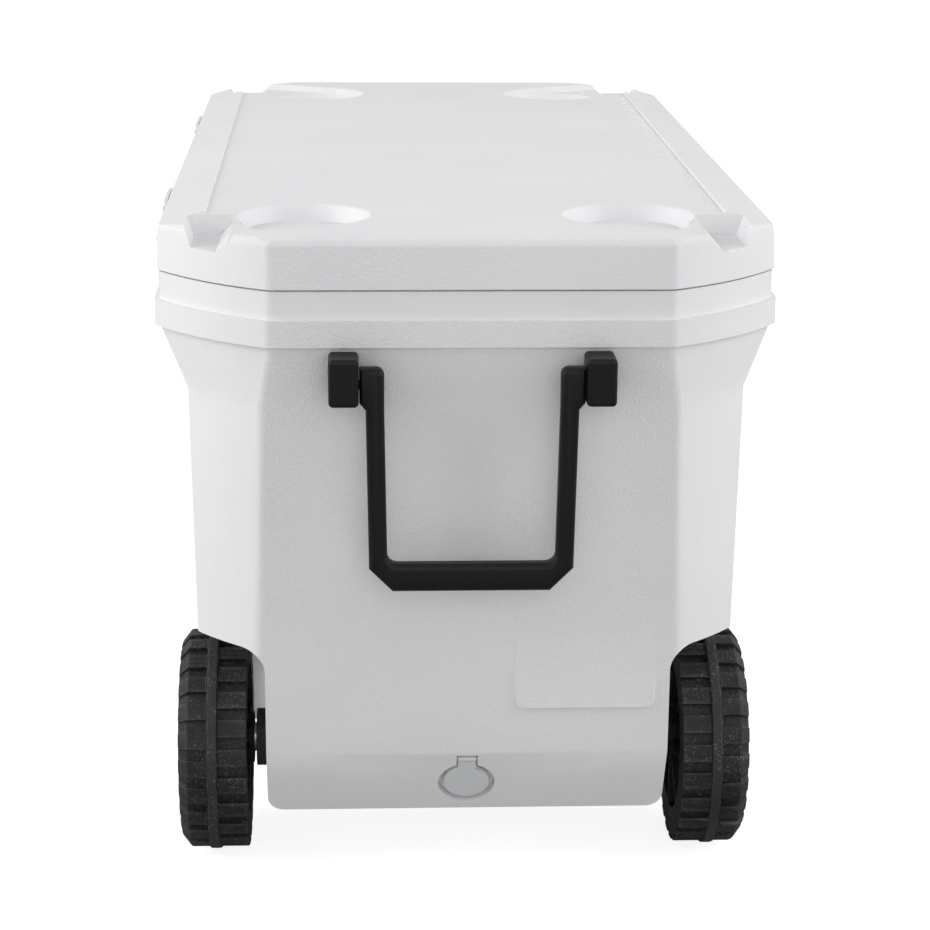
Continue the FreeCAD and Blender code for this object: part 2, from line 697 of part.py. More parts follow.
def cup_tools(name, grow, lift):
    """Tapered round recesses in the lid, grown by a distance and run up past the top."""
    floor = lid_top - "panel_drop" - "cup_depth" - grow
    rise = size("cup_depth") + grow + lift

    def cup(sx, sy):
        cone = doc.addObject("Part::Cone", name)
        bind(cone, "Radius1", size("cup_floor_radius") + grow)
        bind(cone, "Radius2", size("cup_radius") + grow)
        bind(cone, "Height", rise)
        return place(cone, sx * size("cup_across"), sy * (half_length - "cup_set_in"), floor)

    def saddle(sx, sy):
        """A shallow dip from the recess out to the notch beside it."""
        lean = math.radians(size("saddle_turn").value)
        across, ahead = math.cos(lean), math.sin(lean)
        low = size("saddle_back") + grow if sx * sy > 0 else size("saddle_front") + grow
        block = doc.addObject("Part::Box", name + "_saddle")
        bind(block, "Length", size("saddle_reach") + grow)
        bind(block, "Width", size("saddle_front") + "saddle_back" + grow * 2)
        bind(block, "Height", size("saddle_depth") + grow + lift)
        turn = FreeCAD.Rotation(FreeCAD.Vector(0, 0, 1),
                                math.degrees(math.atan2(sy * ahead, sx * across)))
        return place(block, sx * size("cup_across") + sy * ahead * low,
                     sy * (half_length - "cup_set_in") - sx * across * low,
                     lid_top - "panel_drop" - "saddle_depth" - grow, turn)

    return four(cup) + four(saddle)


def notch_tools(name, grow, lift):
    """Strap notches cut along Y through each corner of the lid."""
    top, floor = lid_top + lift, lid_top - "notch_depth" - grow
    start = half_length - "notch_reach" - grow
    climb = (top - floor) / "notch_depth"
    run_in = (size("notch_floor_in") - "notch_top_in") * climb
    run_out = (size("notch_top_out") - "notch_floor_out") * climb

    def notch(sx, sy):
        sketch = place(doc.addObject("Sketcher::SketchObject", name), y=sy * start,
                       rotation=FreeCAD.Rotation(FreeCAD.Vector(1, 0, 0), 90))
        Draft(sketch).polygon(((sx * (size("notch_floor_in") - grow), floor),
                               (sx * (size("notch_floor_out") + grow), floor),
                               (sx * (size("notch_floor_out") + run_out + grow), top),
                               (sx * (size("notch_floor_in") - run_in - grow), top)))
        return prism(name + "_cut", sketch, (0, sy, 0), size("notch_reach") + grow + 10)

    return four(notch)


def lid_form(name, inward, down):
    """The lid's outer form moved in all round and down from the top, with a rolled top edge."""
    roll, top = size("top_round"), lid_top - "panel_drop" - down
    rings = [outline(name + "_low", LID.inset(inward), rim + "lid_gap")]
    for turn in (0, 30, 60, 90):
        across, up = 1 - math.cos(math.radians(turn)), 1 - math.sin(math.radians(turn))
        rings.append(outline(f"{name}_roll_{turn}", LID.inset(inward + "side_draft" + roll * across),
                             top - roll * up))
    return loft(name, rings)


def lid_shell():
    rails = []
    inner = half_width - "rail_width" - size(17.2)
    outer = half_width - "rail_width"
    reach = half_length - "rail_end"
    for side in (-1, 1):
        sketch = place(doc.addObject("Sketcher::SketchObject", "rail"), y=-reach,
                       rotation=FreeCAD.Rotation(FreeCAD.Vector(1, 0, 0), 90))
        Draft(sketch).polygon(((side * inner, lid_top - 6), (side * (inner + 1), lid_top),
                               (side * outer, lid_top), (side * (half_width - 4), lid_top - 5.6),
                               (side * (half_width - 4), lid_top - 8)))
        rails.append(prism("rail_bar", sketch, (0, 1, 0), 2 * reach))
    bevels = []
    for side in (-1, 1):
        sketch = place(doc.addObject("Sketcher::SketchObject", "bevel"), y=-half_length,
                       rotation=FreeCAD.Rotation(FreeCAD.Vector(1, 0, 0), 90))
        Draft(sketch).polygon(((side * outer, lid_top), (side * (half_width + 8), lid_top - 10.2),
                               (side * (half_width + 8), lid_top + 9), (side * outer, lid_top + 9)))
        bevels.append(prism("bevel_cut", sketch, (0, 1, 0), 2 * half_length))
    mass = fuse("lid_mass", [lid_form("lid", size(0), size(0))] + rails)
    cavity = cut("lid_cavity", fuse("lid_cavity_body", [
        slab("lid_cavity_low", LID.inset(wall), rim - 1, rim + 6),
        lid_form("lid_hollow", wall, wall + 2.5)]),
        cup_tools("cup_wall", wall, 30) + notch_tools("notch_wall", wall, 30))
    tools = [cavity] + cup_tools("cup", size(0), size(0.01)) + notch_tools("notch", size(0), 9)
    return node(cut("lid_cut", mass, tools + bevels + screw_holes("lid", "shaft_gap")), "lid_shell")


def lid_liner():
    """The lid's lower skin: a plate on the rim with a hollow plug into the mouth of the liner."""
    gap = size("seal_gap")
    plate = slab("lid_plate", LID.inset(wall + "foam_gap"), rim + gap, rim + gap + "liner_wall")
    mouth = LINER[2][2].inset(size("liner_wall") + "plug_gap")
    plug = slab("plug", mouth, rim - "plug_depth", rim + gap + 1)
    inside = slab("plug_inside", mouth.inset("liner_wall"), rim - "plug_depth" + "liner_wall",
                  rim + 20)
    return node(cut("lid_liner_cut", fuse("lid_liner_mass", [plate, plug]), [inside]), "lid_liner")


def lid_foam():
    gap = size("foam_gap")
    mouth = LINER[2][2].inset(size("liner_wall") * 2 + "plug_gap" + gap)
    body = fuse("lid_foam_body", [
        slab("lid_foam_plug", mouth, rim - "plug_depth" + "liner_wall" + gap, rim + 10),
        slab("lid_foam_low", LID.inset(wall + gap), rim + "seal_gap" + "liner_wall" + gap, rim + 5),
        lid_form("lid_foam_high", wall + gap, wall + 2.5 + gap)])
    keep = slab("lid_foam_keep", LID.inset(wall), rim - "plug_depth", rim + "seal_gap" + "liner_wall"
                + gap)
    below = cut("lid_foam_under", keep, [slab("lid_foam_pass", mouth, rim - 50, rim + 50)])
    tools = [below] + cup_tools("cup_foam", wall + gap, 30) + notch_tools("notch_foam", wall + gap, 30)
    return node(cut("lid_foam_cut", body, tools + screw_holes("lid", "shaft_gap")), "lid_foam")


# ---------------------------------------------------------------- hinges
def hinges():
    radius, pin_radius = size("knuckle_radius"), size("hinge_pin_radius")
    half, share, gap = size("hinge_width") / 2, size("knuckle_share") / 2, size("knuckle_gap")
    thick = size("leaf_thickness")
    tub_screws, lid_screws = [], []
    for label, middle in zip(("rear", "front"), hinge_middles):
        bore = rod("hinge_bore", pin_radius + "running_gap", 2 * half + 2, hinge_x, middle - half - 1,
                   hinge_z, "+Y")
        tub_face, lid_face = -half_width - "collar_out", -half_width
        tub_leaf = box("tub_leaf", (tub_face - thick, tub_face), (middle - half, middle + half),
                       (size("flare_top") + 3, hinge_z))
        window = box("tub_leaf_window", (tub_face - 12, tub_face + 1),
                     (middle - share - gap, middle + share + gap), (hinge_z - radius - 0.5, hinge_z + 9))
        outer = [rod("knuckle", radius, half - share - gap, hinge_x, start, hinge_z, "+Y")
                 for start in (middle - half, middle + share + gap)]
        lid_leaf = box("lid_leaf", (lid_face - thick, lid_face), (middle - half, middle + half),
                       (hinge_z + radius + 0.6, rim + "leaf_height"))
        strap = box("lid_strap", (lid_face - thick, lid_face - 0.3), (middle - share, middle + share),
                    (hinge_z, hinge_z + radius + 1))
        inner = rod("lid_knuckle", radius, 2 * share, hinge_x, middle - share, hinge_z, "+Y")
        for row, x, level in hinge_screw_rows():
            for step in (-1, 1):
                y = middle + step * size("screw_spread")
                made = screw(f"{row}_screw", x - thick, y, level, "+X", size(0),
                             size("screw_length") + thick - 1)
                (tub_screws if row == "tub" else lid_screws).append(made)
        holes = {row: [rod(f"{row}_leaf_hole", size("screw_radius") + "shaft_gap", 20, x - 10,
                           middle + step * size("screw_spread"), level, "+X") for step in (-1, 1)]
                 for row, x, level in hinge_screw_rows()}
        node(cut("tub_leaf_cut", fuse("tub_leaf_mass", [cut("tub_leaf_plate", tub_leaf, [window])]
                                      + outer), [bore] + holes["tub"]), f"hinge_tub_leaf_{label}")
        node(cut("lid_leaf_cut", fuse("lid_leaf_mass", [lid_leaf, strap, inner]),
                 [bore] + holes["lid"]), f"hinge_lid_leaf_{label}")
        node(rod("hinge_pin", pin_radius, 2 * half, hinge_x, middle - half, hinge_z, "+Y"),
             f"hinge_pin_{label}")
    node(group("tub_screw_group", tub_screws), "hinge_screws_tub")
    node(group("lid_screw_group", lid_screws), "hinge_screws_lid")


# ---------------------------------------------------------------- wheels
def wheels():
    crown = size("wheel_radius")
    radius, base = crown - "rib_height", crown - "rib_height" - "lug_height"
    half, rib = size("tread_width") / 2, size("rib_width") / 2
    rim_out, bore = size("rim_radius"), size("axle_radius") + "running_gap"
    lug_angle = size(360) / "lug_count" - "lug_gap_angle"
    for label, side in (("right", 1), ("left", -1)):
        tyre = new_body(f"tyre_{label}_body")
        out = side * half
        turned(tyre, "carcass", (
            (-out, rim_out), (out, rim_out), (out, base - "shoulder_drop"),
            (out - side * size("shoulder_width"), base), (side * rib, base),
            (side * rib, crown), (-side * rib, crown), (-side * rib, base), (-out, base)))
        inner = turned(tyre, "inner_lug", ((-out, base - 1), (-side * rib, base - 1),
                                           (-side * rib, radius), (-out, radius)), lug_angle)
        repeated(tyre, "inner_lugs", inner, "lug_count")
        bevel = side * size("shoulder_width")
        outer = turned(tyre, "outer_lug", (
            (side * rib, base - 1), (out, base - "shoulder_drop" - 1),
            (out, radius - "shoulder_drop"), (out - bevel, radius), (side * rib, radius)),
            lug_angle, True)
        repeated(tyre, "outer_lugs", outer, "lug_count")
        node(place(tyre, side * size("wheel_middle"), axle_y, axle_z), f"wheel_tread_{label}")

        hub = new_body(f"wheel_{label}_body")
        web, ring = size("web_thickness") / 2, rim_out - "rim_wall"
        tail, nose, hub_out = -side * size("hub_tail"), side * size("hub_nose"), size("hub_radius")
        turned(hub, "wheel_form", (
            (tail, bore), (nose, bore), (nose, hub_out), (side * web, hub_out), (side * web, ring),
            (out, ring), (out, rim_out), (-out, rim_out), (-out, ring), (-side * web, ring),
            (-side * web, hub_out), (tail, hub_out)))
        spoke = pad(hub, "spoke", lambda d: d.polygon((
            (-out, hub_out - 2), (nose, hub_out - 2), (nose, ring + 2), (-out, ring + 2))),
            "web_thickness", middle=True)
        repeated(hub, "spokes", spoke, "spoke_count")
        node(place(hub, side * size("wheel_middle"), axle_y, axle_z), f"wheel_hub_{label}")

        turn = "+X" if side > 0 else "-X"
        inside, washer_at = size("well_inner"), size("wheel_middle") - "hub_tail" - "side_gap"
        bush_end = washer_at - "washer_thickness" - "side_gap"
        flange = rod("bush_flange", "bush_radius", bush_end - inside, side * inside, axle_y, axle_z,
                     turn)
        key = size("channel_half") - 0.2
        block = [side * (inside - "bush_spigot"), side * (inside + 1)]
        spigot = box("bush_spigot", (block[0], block[1]) if side > 0 else (block[1], block[0]),
                     (axle_y - key, axle_y + key), (axle_z - key, axle_z + key))
        hole = rod("bush_hole", bore, 80, side * (inside - 40), axle_y, axle_z, turn)
        node(cut("bush_cut", fuse("bush_mass", [flange, spigot]), [hole]), f"axle_bush_{label}")
        disc = rod("washer_disc", "washer_radius", "washer_thickness",
                   side * (washer_at - "washer_thickness"), axle_y, axle_z, turn)
        node(cut("washer_cut", disc, [rod("washer_hole", bore, 20, side * (washer_at - 10), axle_y,
                                          axle_z, turn)]), f"axle_washer_{label}")
        end = size("wheel_middle") + "hub_nose" + "side_gap"
        cap = rod("axle_cap_disc", "axle_cap_radius", "axle_cap_height", side * end, axle_y, axle_z,
                  turn)
        cap_hole = rod("axle_cap_hole", "axle_radius", size("axle_cap_height") - 2, side * end, axle_y,
                       axle_z, turn)
        node(cut("axle_cap_cut", cap, [cap_hole]), f"axle_cap_{label}")
    reach = size("wheel_middle") + "hub_nose" + "side_gap" + "axle_cap_height" - 2
    node(rod("axle_rod", "axle_radius", 2 * reach, -reach, axle_y, axle_z, "+X"), "axle")


# ---------------------------------------------------------------- handles
def handle(name, sign, head_half, arm_out, arm_low_out, arm_in, arm_low_in, reach, grip, corner):
    """A hanging handle on pins in two brackets; sign is -1 at the wheel end and 1 at the other."""
    pivot_y, level = pivot_line(sign)
    thick, head = size("handle_thickness"), size("head_half")
    low = level - reach
    sketch = place(doc.addObject("Sketcher::SketchObject", name + "_plan"), y=pivot_y - thick / 2,
                   rotation=FreeCAD.Rotation(FreeCAD.Vector(1, 0, 0), 90))
    inside = [(arm_low_in, low + grip), (arm_in, level + head), (head_half, level + head)]
    outside = [(head_half, level - head), (arm_out, level - head - "head_slope"),
               (arm_low_out, low + corner), (arm_low_out - corner * 0.85, low)]
    right = inside + outside
    Draft(sketch).polygon([(-x, z) for x, z in reversed(right)] + right)
    pieces = [prism(name + "_frame", sketch, (0, 1, 0), thick)]
    for side in (-1, 1):
        pieces.append(rod(name + "_pin", "pivot_pin_radius", size("pivot_pin_length") + 1,
                          side * (head_half - 1), pivot_y, level, "+X" if side > 0 else "-X"))
    return pieces, low


def pivot_line(sign):
    return sign * (half_length + "pivot_out"), size("carry_pivot_level")


def carry_handle():
    sizes = [size(f"carry_{key}") for key in ("head_half", "arm_out", "arm_low_out", "arm_in",
                                              "arm_low_in", "reach", "grip", "corner")]
    pieces, _ = handle("carry", -1, *sizes)
    node(fuse("carry_handle_mass", pieces), "carry_handle")


def tow_handle():
    reach = size("tow_reach")
    arm_out, arm_in = size("tow_arm_out"), size("tow_arm_in")
    pieces, low = handle("tow", 1, size("tow_head_half"), arm_out, arm_out, arm_in, arm_in, reach,
                         size("tow_bar_radius") * 2, size("tow_corner"))
    pivot_y, _ = pivot_line(1)
    half, radius = size("tow_grip_half"), size("tow_grip_radius")
    centre = low + "tow_bar_radius"
    bar = rod("tow_grip_hole", size("tow_bar_radius") + 4, 2 * half + 2, -half - 1, pivot_y, centre,
              "+X")
    pieces.append(rod("tow_grip_core", size("tow_bar_radius") + 4, 2 * half, -half, pivot_y, centre,
                      "+X"))
    tube = rod("tow_grip_tube", radius, 2 * half, -half, pivot_y, centre, "+X")
    collars = [rod("tow_grip_collar", radius + 1, 3, side * (half + 0.1) - (3 if side < 0 else 0),
                   pivot_y, centre, "+X") for side in (-1, 1)]
    node(fuse("tow_handle_mass", pieces + collars), "tow_handle")
    node(cut("tow_grip_cut", tube, [bar]), "tow_grip")


def brackets():
    """Blocks under the collar that carry the handle pins, shaped to the tub's end face."""
    screws = []
    for end, sign in (("carry", -1), ("tow", 1)):
        pivot_y, level = pivot_line(sign)
        turn = "-Y" if sign < 0 else "+Y"
        for label, side in (("left", -1), ("right", 1)):
            near = size(f"{end}_head_half") + "bracket_gap"
            far = near + "bracket_width"
            x = (near, far) if side > 0 else (-far, -near)
            back = sign * (half_length - 16)
            front = pivot_y + sign * size("bracket_nose")
            y = (front, back) if sign < 0 else (back, front)
            block = box("bracket_block", x, y, (level - "bracket_low", level + "bracket_top"))
            shave = tub_form("bracket_shave", size(0), size(0))
            top = slab("bracket_under", COLLAR.inset(size(0)), "flare_top", rim)
            pin_hole = rod("pin_hole", size("pivot_pin_radius") + "running_gap",
                           size("pivot_pin_length") + 1, side * (near - 1), pivot_y, level,
                           "+X" if side > 0 else "-X")
            screw_x, screw_z = side * (near + far) / 2, level + "bracket_top" - 5
            seat = sign * (half_length - "screw_seat")
            way = rod("screw_way", size("screw_radius") + "shaft_gap", "screw_reach", screw_x, seat,
                      screw_z, turn)
            made = cut(f"bracket_{end}_{label}_cut", block, [shave, top, pin_hole, way])
            node(made, f"{end}_bracket_{label}")
            screws.append(screw("handle_screw", screw_x, seat, screw_z, turn, size(0),
                                size("screw_reach") - 1))
    node(group("handle_screw_group", screws), "handle_screws")


# ---------------------------------------------------------------- drain
def drain():
    depth, flange = size("recess_depth"), size("flange_thickness")
    cap_thick = size("cap_thickness")
    bore = drain_rod("spout_hole", "spout_bore", -20, 120)
    length = size("spout_length")
    spout = fuse("spout_mass", [
        drain_rod("spout_flange_disc", "spout_flange", depth - flange, flange),
        drain_rod("spout_tube", "spout_radius", depth - flange, length)])
    node(cut("spout_cut", spout, [bore]), "drain_spout")
    inside = depth - flange + length
    pass_through = drain_rod("nut_hole", size("spout_radius") + "running_gap", 0, 120)
    nut = drain_rod("nut_disc", "nut_radius", inside - "nut_thickness" - 0.5, "nut_thickness")
    node(cut("nut_cut", nut, [pass_through]), "drain_nut")
    seal = drain_rod("gasket_disc", size("nut_radius"), inside - "nut_thickness" - 0.5
                     - "gasket_thickness", "gasket_thickness")
    node(cut("gasket_cut", seal, [pass_through]), "drain_gasket")

    body = new_body("drain_cap_body")
    top = size("tongue_length") - 5
    pad(body, "disc", lambda d: d.circle(0, 0, "cap_radius"), cap_thick)
    half = size("tongue_width") / 2
    pad(body, "tongue", lambda d: d.polygon(((-half, 0), (half, 0), (half, top), (-half, top))),
        "tongue_thickness")
    pad(body, "stub", lambda d: d.circle(0, 0, "cap_stub"), size("cap_stub_length") + cap_thick / 2)
    middle = size("tongue_thickness") / 2
    pad(body, "knuckle", lambda d: d.circle(top, middle, "tether_knuckle"), "tongue_width",
        plane="YZ_Plane", middle=True)
    pocket(body, "pin_way", lambda d: d.circle(top, middle, size("tether_pin_radius")
                                               + "running_gap"), plane="YZ_Plane")
    place(body, 0, drain_y + cap_depth * band_in_y, size("drain_level") + cap_depth * band_in_z,
          FreeCAD.Rotation(FreeCAD.Vector(-1, 0, 0), FreeCAD.Vector(0, -band_in_z.value,
                                                                  band_in_y.value),
                           FreeCAD.Vector(0, band_in_y.value, band_in_z.value), "ZXY"))
    node(body, "drain_cap")
    node(tether_rod("tether_pin", "tether_pin_radius", size("tongue_width") / 2 + 3.8),
         "drain_cap_pin")


outer_tub()
inner_liner()
tub_foam()
lid_shell()
lid_liner()
lid_foam()
hinges()
wheels()
carry_handle()
tow_handle()
brackets()
drain()
doc.recompute()

for thing in doc.Objects:
    assert not {"Invalid", "Error"} & set(thing.State), (thing.Name, thing.State)
for thing in NODES:
    assert not thing.Shape.isNull() and thing.Shape.isValid(), thing.Label
os.makedirs("parts", exist_ok=True)
for thing in NODES:
    thing.Shape.exportStep(f"parts/{thing.Label}.step")
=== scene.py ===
import json
import math

import bmesh
import bpy
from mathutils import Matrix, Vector

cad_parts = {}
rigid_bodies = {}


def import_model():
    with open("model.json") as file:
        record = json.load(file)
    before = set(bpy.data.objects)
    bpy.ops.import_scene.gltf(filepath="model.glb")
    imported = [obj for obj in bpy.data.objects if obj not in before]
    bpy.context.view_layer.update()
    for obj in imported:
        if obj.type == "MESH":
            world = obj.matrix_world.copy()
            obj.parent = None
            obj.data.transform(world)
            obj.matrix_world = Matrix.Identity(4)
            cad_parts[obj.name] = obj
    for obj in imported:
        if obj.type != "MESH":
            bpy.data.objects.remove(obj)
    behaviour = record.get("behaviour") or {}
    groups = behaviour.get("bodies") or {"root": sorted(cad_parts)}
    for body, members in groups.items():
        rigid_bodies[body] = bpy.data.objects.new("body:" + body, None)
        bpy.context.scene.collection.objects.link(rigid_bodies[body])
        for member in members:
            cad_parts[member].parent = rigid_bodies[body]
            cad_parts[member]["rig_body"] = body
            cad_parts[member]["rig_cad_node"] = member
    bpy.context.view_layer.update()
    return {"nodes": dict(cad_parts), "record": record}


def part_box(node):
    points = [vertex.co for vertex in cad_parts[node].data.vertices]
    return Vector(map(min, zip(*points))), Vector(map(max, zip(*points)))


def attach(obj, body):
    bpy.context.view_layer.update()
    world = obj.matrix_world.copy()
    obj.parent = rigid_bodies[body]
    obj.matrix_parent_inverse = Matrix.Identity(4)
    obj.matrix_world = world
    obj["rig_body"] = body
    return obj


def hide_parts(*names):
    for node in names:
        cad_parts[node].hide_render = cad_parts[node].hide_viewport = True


# A white wheeled cooler: pebbled polyethylene tub and lid, black moulded handles and wheels.
# Metres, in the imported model's frame: +Z up, wheel end at -Y, hinges at -X.

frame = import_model()
bpy.ops.object.select_all(action="DESELECT")
MM = 0.001

# sizes in millimetres that more than one piece takes
RAIL_HEIGHT = 2.5
BRACKET_BACK = 439.0


# ---------------------------------------------------------------- material helpers
def linear(hex_colour):
    """An sRGB hex colour as linear RGBA."""
    parts = [int(hex_colour[i:i + 2], 16) / 255 for i in (1, 3, 5)]
    return [p / 12.92 if p <= 0.04045 else ((p + 0.055) / 1.055) ** 2.4 for p in parts] + [1.0]


def add_node(tree, kind, settings=None, links=None, **values):
    """Adds a node: settings are its properties, values its inputs, links its inputs' sources."""
    node = tree.nodes.new(kind)
    for key, value in (settings or {}).items():
        setattr(node, key, value)
    for key, value in values.items():
        node.inputs[key.replace("_", " ")].default_value = value
    for key, source in (links or {}).items():
        tree.links.new(source, node.inputs[key])
    return node


def new_material(name, colour, roughness, ior=1.5, metallic=0.0):
    """A material with its constant values on the shader's own sockets."""
    material = bpy.data.materials.new(name)
    material.use_nodes = True
    shader = material.node_tree.nodes["Principled BSDF"]
    shader.inputs["Base Color"].default_value = linear(colour)
    shader.inputs["Roughness"].default_value = roughness
    shader.inputs["IOR"].default_value = ior
    shader.inputs["Metallic"].default_value = metallic
    return material, material.node_tree, shader


def colour_ramp(tree, source, stops):
    """Turns a value into one of several colours, each at its place."""
    node = add_node(tree, "ShaderNodeValToRGB", links={"Fac": source})
    ramp = node.color_ramp
    for element, (place, colour) in zip(list(ramp.elements), stops):
        element.position = place
        element.color = linear(colour)
    for place, colour in stops[2:]:
        ramp.elements.new(place).color = linear(colour)
    return node


def grain(tree, grain_mm, detail=2.0, roughness=0.5):
    """A noise whose lumps are about grain_mm across, on the piece's own coordinates."""
    place = add_node(tree, "ShaderNodeTexCoord").outputs["Object"]
    return add_node(tree, "ShaderNodeTexNoise", links={"Vector": place}, Scale=1000.0 / grain_mm,
                    Detail=detail, Roughness=roughness)


def bump(tree, shader, height, depth_mm, strength=1.0):
    """Raises the surface by a height pattern depth_mm deep."""
    node = add_node(tree, "ShaderNodeBump", links={"Height": height}, Strength=strength,
                    Distance=depth_mm * MM)
    tree.links.new(node.outputs["Normal"], shader.inputs["Normal"])
    return node


def roughness_from(tree, shader, source, low, high):
    """Lets a pattern vary the roughness between two values."""
    spread = add_node(tree, "ShaderNodeMapRange", links={"Value": source}, To_Min=low, To_Max=high)
    tree.links.new(spread.outputs["Result"], shader.inputs["Roughness"])


# ---------------------------------------------------------------- materials
def pebbled_polyethylene():
    """Moulded white polyethylene: a leathery pebble that breaks up the light, and a soft sheen.

    The pebble is drawn deeper on the two ends than on the facets and sides, so the ends look
    leathery and the rest nearly smooth.
    """
    material, tree, shader = new_material("pebbled_white_polyethylene", "#E9E9EA", 0.5, 1.51)
    pebble = grain(tree, 2.0)
    raised = bump(tree, shader, pebble.outputs["Fac"], 1.0)
    # a face that looks straight along the piece's own Y belongs to an end
    own_normal = add_node(tree, "ShaderNodeTexCoord").outputs["Normal"]
    facing = add_node(tree, "ShaderNodeSeparateXYZ", links={"Vector": own_normal})
    ends = add_node(tree, "ShaderNodeMath", {"operation": "ABSOLUTE"}, {0: facing.outputs["Y"]})
    depth = add_node(tree, "ShaderNodeMapRange", links={"Value": ends.outputs[0]},
                     From_Min=0.9, From_Max=0.985, To_Min=0.16, To_Max=0.5)
    tree.links.new(depth.outputs["Result"], raised.inputs["Strength"])
    cloud = grain(tree, 160.0, 3.0)
    tint = colour_ramp(tree, cloud.outputs["Fac"], [(0.3, "#E7E7E9"), (0.7, "#ECECED")])
    tree.links.new(tint.outputs["Color"], shader.inputs["Base Color"])
    roughness_from(tree, shader, pebble.outputs["Fac"], 0.42, 0.58)
    return material


def smooth_polypropylene():
    """Moulded white polypropylene: smooth, slightly shiny, with the faintest mould ripple."""
    material, tree, shader = new_material("smooth_white_polypropylene", "#EDEDEE", 0.32, 1.49)
    ripple = grain(tree, 30.0, 2.0)
    bump(tree, shader, ripple.outputs["Fac"], 0.15, 0.2)
    roughness_from(tree, shader, ripple.outputs["Fac"], 0.26, 0.4)
    return material


def dusty_black_plastic():
    """Moulded black polyethylene of a wheel: a coarse grain, pale dust specks, and light edges that are
    partly rubbed wear and partly a painted highlight.

    The specks are drawn nearly 2 mm wide, coarser than real dust, so that they show.
    """
    material, tree, shader = new_material("dusty_black_polyethylene", "#131314", 0.6, 1.51)
    shader.inputs["Specular IOR Level"].default_value = 0.3
    specks = grain(tree, 1.8, 6.0, 0.75)
    dust = colour_ramp(tree, specks.outputs["Fac"],
                       [(0.46, "#121213"), (0.57, "#2C2C2B"), (0.67, "#8E8E8A")])
    patches = grain(tree, 26.0, 4.0, 0.65)
    worn = colour_ramp(tree, patches.outputs["Fac"], [(0.4, "#1A1A1A"), (0.66, "#FFFFFF")])
    dusty = add_node(tree, "ShaderNodeMix", {"data_type": "RGBA"})
    tree.links.new(worn.outputs["Color"], dusty.inputs["Factor"])
    dusty.inputs["A"].default_value = linear("#121213")
    tree.links.new(dust.outputs["Color"], dusty.inputs["B"])
    # the sharpest edges are lightened by their Pointiness: partly rubbed wear, partly a painted
    # highlight
    shape = add_node(tree, "ShaderNodeNewGeometry")
    edge = colour_ramp(tree, shape.outputs["Pointiness"], [(0.51, "#000000"), (0.58, "#4A4A48")])
    rubbed_and_highlit = add_node(tree, "ShaderNodeMix", {"data_type": "RGBA", "blend_type": "ADD"})
    rubbed_and_highlit.inputs["Factor"].default_value = 1.0
    tree.links.new(dusty.outputs["Result"], rubbed_and_highlit.inputs["A"])
    tree.links.new(edge.outputs["Color"], rubbed_and_highlit.inputs["B"])
    tree.links.new(rubbed_and_highlit.outputs["Result"], shader.inputs["Base Color"])
    bump(tree, shader, specks.outputs["Fac"], 0.7, 0.6)
    roughness_from(tree, shader, specks.outputs["Fac"], 0.45, 0.75)
    return material


def handle_plastic():
    """Moulded black polypropylene: a matt skin with soft highlights on its edges.

    The skin's grain is drawn 0.9 mm wide, coarser than a real matt skin, so that it shows.
    """
    material, tree, shader = new_material("black_polypropylene", "#0E0E0F", 0.42, 1.49)
    shader.inputs["Specular IOR Level"].default_value = 0.2
    skin = grain(tree, 0.9, 2.0)
    bump(tree, shader, skin.outputs["Fac"], 0.05, 0.4)
    roughness_from(tree, shader, skin.outputs["Fac"], 0.34, 0.5)
    return material


def pale_polypropylene():
    """Moulded light grey polypropylene of the drain fittings: nearly smooth, with a dull shine.

    Its skin is drawn 1.2 mm coarse, which is coarser than a real one, so that it shows.
    """
    material, tree, shader = new_material("light_grey_polypropylene", "#DCDEDF", 0.4, 1.49)
    skin = grain(tree, 1.2, 2.0)
    bump(tree, shader, skin.outputs["Fac"], 0.04, 0.4)
    roughness_from(tree, shader, skin.outputs["Fac"], 0.34, 0.46)
    return material


def soft_rubber():
    """Black moulded rubber: dull and faintly mottled."""
    material, tree, shader = new_material("black_rubber", "#202021", 0.75, 1.52)
    mottle = grain(tree, 4.0, 3.0)
    bump(tree, shader, mottle.outputs["Fac"], 0.08, 0.4)
    roughness_from(tree, shader, mottle.outputs["Fac"], 0.65, 0.85)
    return material


def zinc_steel():
    """Zinc-plated steel: grey metal with a cloudy plating."""
    material, tree, shader = new_material("zinc_plated_steel", "#B9BBBD", 0.3, 1.5, 1.0)
    cloud = grain(tree, 3.0, 3.0)
    roughness_from(tree, shader, cloud.outputs["Fac"], 0.24, 0.42)
    bump(tree, shader, cloud.outputs["Fac"], 0.02, 0.3)
    return material


def cream_foam():
    """Rigid polyurethane foam: pale cream with open cells."""
    material, tree, shader = new_material("rigid_polyurethane_foam", "#E8DDB8", 0.9, 1.45)
    cells = grain(tree, 1.5, 2.0)
    bump(tree, shader, cells.outputs["Fac"], 0.3, 0.6)
    return material


FINISH = {
    "tub_plastic": pebbled_polyethylene(),
    "liner_plastic": smooth_polypropylene(),
    "foam": cream_foam(),
    "hinge_plastic": smooth_polypropylene(),
    "steel": zinc_steel(),
    "tread_plastic": dusty_black_plastic(),
    "wheel_plastic": dusty_black_plastic(),
    "rubber": soft_rubber(),
    "drain_plastic": pale_polypropylene(),
    "handle_plastic": handle_plastic(),
}
SLOTS = {part["node"]: part["material_slot"] for part in frame["record"]["subparts"]}


def finish_node(name):
    """Gives a CAD node the finish of its material slot."""
    mesh = frame["nodes"][name].data
    mesh.materials.clear()
    mesh.materials.append(FINISH[SLOTS[name]])


for node_name in frame["nodes"]:
    finish_node(node_name)


# ---------------------------------------------------------------- mesh helpers
def activate(obj):
    """Selects one object alone and makes it the active one."""
    bpy.ops.object.select_all(action="DESELECT")
    obj.select_set(True)
    bpy.context.view_layer.objects.active = obj


